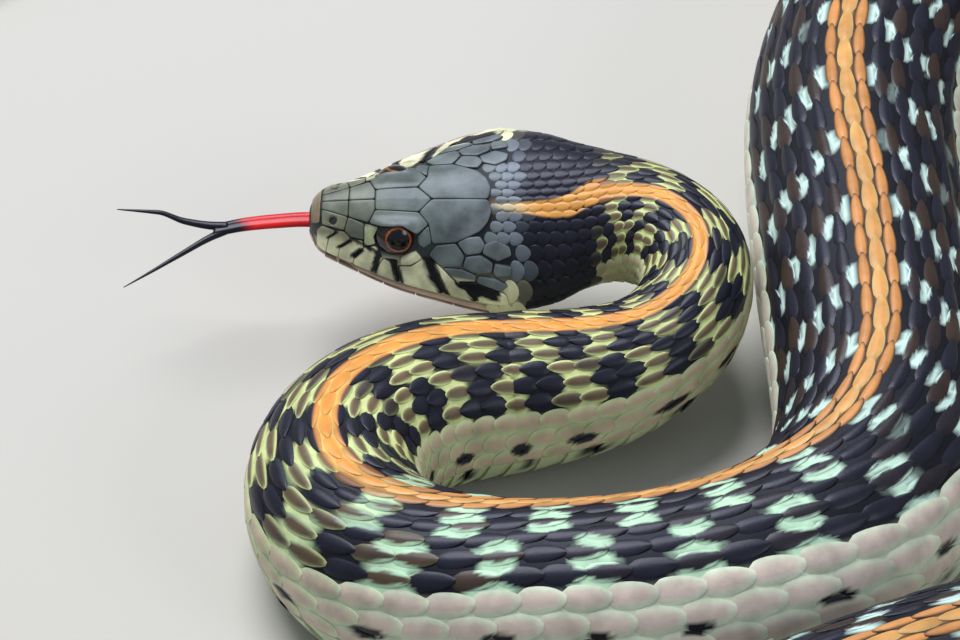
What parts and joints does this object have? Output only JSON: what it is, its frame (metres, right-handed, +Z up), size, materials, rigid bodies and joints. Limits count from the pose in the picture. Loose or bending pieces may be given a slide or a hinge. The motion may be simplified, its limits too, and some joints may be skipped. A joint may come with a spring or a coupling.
{
  "type": "garter snake",
  "caption": "Life-size black-necked garter snake lying in loose coils, head and neck raised and forked tongue out.",
  "frame": {"origin": "middle of the floor area under the coils, at floor level", "axes": "+X along the longest side of the coils, to the viewer's right; +Y away from the viewer; +Z up, the shortest side"},
  "size_m": [0.1742, 0.1687, 0.022],
  "materials": {
    "skin": "thin dark skin between the scales and smooth head plates, satin",
    "scales": "small keeled scales, dark brown and black with an orange back stripe and pale green-white flecks, satin",
    "belly": "broad smooth belly plates, pale greenish cream, satin",
    "eye": "clear wet lens over a black pupil and a thin orange iris",
    "tongue": "wet red stem turning black at the fork"
  },
  "bodies": {
    "root": {"head": "skin", "lower_jaw": "skin", "eye_left": "eye", "eye_right": "eye", "tongue": "tongue", "neck_1": "skin", "neck_2": "skin", "neck_3": "skin", "neck_4": "skin", "torso_01": "skin", "torso_02": "skin", "torso_03": "skin", "torso_04": "skin", "torso_05": "skin", "torso_06": "skin", "torso_07": "skin", "torso_08": "skin", "torso_09": "skin", "torso_10": "skin", "torso_11": "skin", "torso_12": "skin", "torso_13": "skin", "torso_14": "skin", "torso_15": "skin", "tail_1": "skin", "tail_2": "skin", "tail_3": "skin", "tail_4": "skin"}
  },
  "joints": []
}
